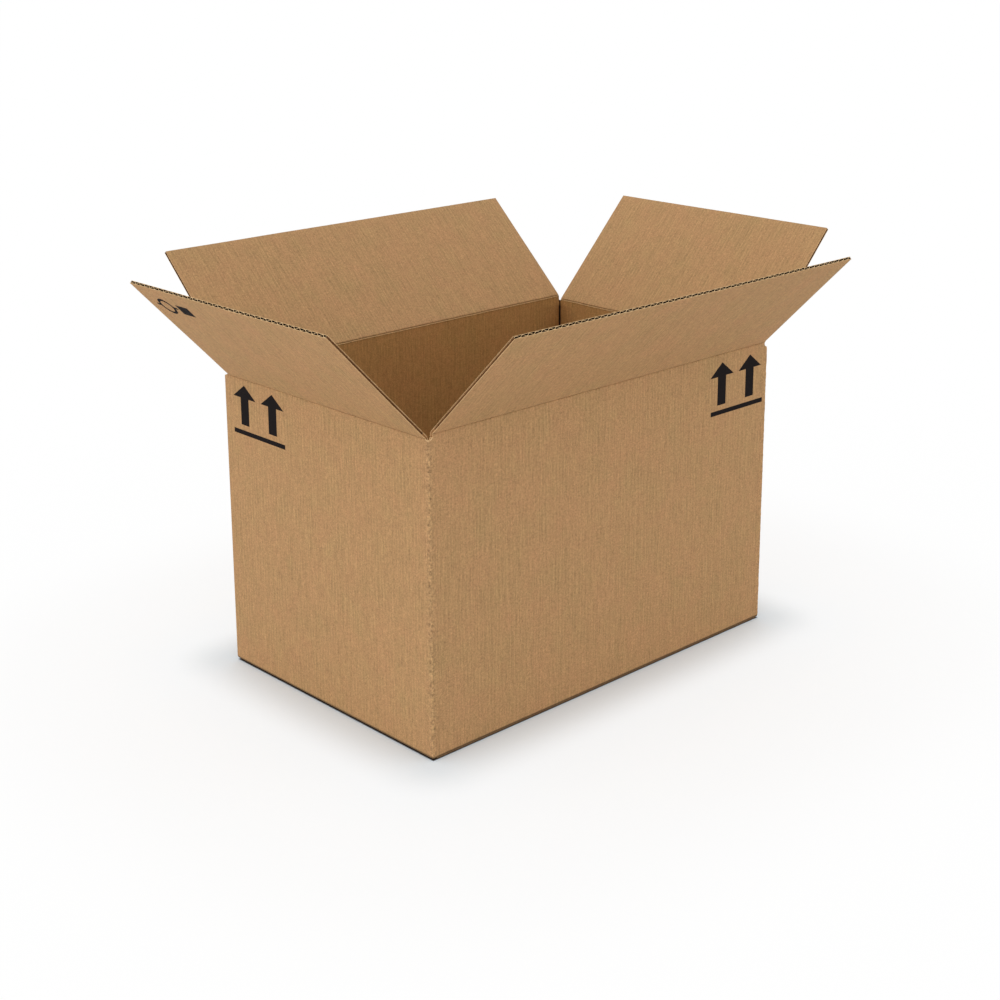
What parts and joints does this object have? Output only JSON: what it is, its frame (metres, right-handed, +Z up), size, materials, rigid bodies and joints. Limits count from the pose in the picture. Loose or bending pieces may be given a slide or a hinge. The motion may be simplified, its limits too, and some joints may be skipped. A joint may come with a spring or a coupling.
{
  "type": "open cardboard box",
  "caption": "Open rectangular shipping box of fluted board, folded flaps standing outwards about hinged creases, glued flat bottom.",
  "frame": {"origin": "On the floor under the middle of the box, on the plane of the flat bottom. The flaps lean a little unequally, so the middle of the whole part's bounds is within 2 mm of it.", "axes": "+X along the long walls, +Y from the front wall to the back wall, +Z up. The picture looks from the -X, -Y side."},
  "size_m": [0.6788, 0.5138, 0.4159],
  "materials": {
    "kraft_board": "uncoated brown kraft facing"
  },
  "bodies": {
    "carton_body": {"carton_body": "kraft_board"},
    "front_flap": {"front_flap": "kraft_board"},
    "back_flap": {"back_flap": "kraft_board"},
    "left_flap": {"left_flap": "kraft_board"},
    "right_flap": {"right_flap": "kraft_board"}
  },
  "joints": [
    {"name": "front_crease", "type": "hinge", "parent": "carton_body", "child": "front_flap", "pos_m": [0, -0.1513, 0.31], "axis": [1, 0, 0], "range_deg": [-135, 105]},
    {"name": "back_crease", "type": "hinge", "parent": "carton_body", "child": "back_flap", "pos_m": [0, 0.1513, 0.31], "axis": [-1, 0, 0], "range_deg": [-136.5, 103.5]},
    {"name": "left_crease", "type": "hinge", "parent": "carton_body", "child": "left_flap", "pos_m": [-0.2338, 0, 0.3055], "axis": [0, -1, 0], "range_deg": [-134, 106]},
    {"name": "right_crease", "type": "hinge", "parent": "carton_body", "child": "right_flap", "pos_m": [0.2338, 0, 0.3055], "axis": [0, 1, 0], "range_deg": [-134, 106]}
  ]
}
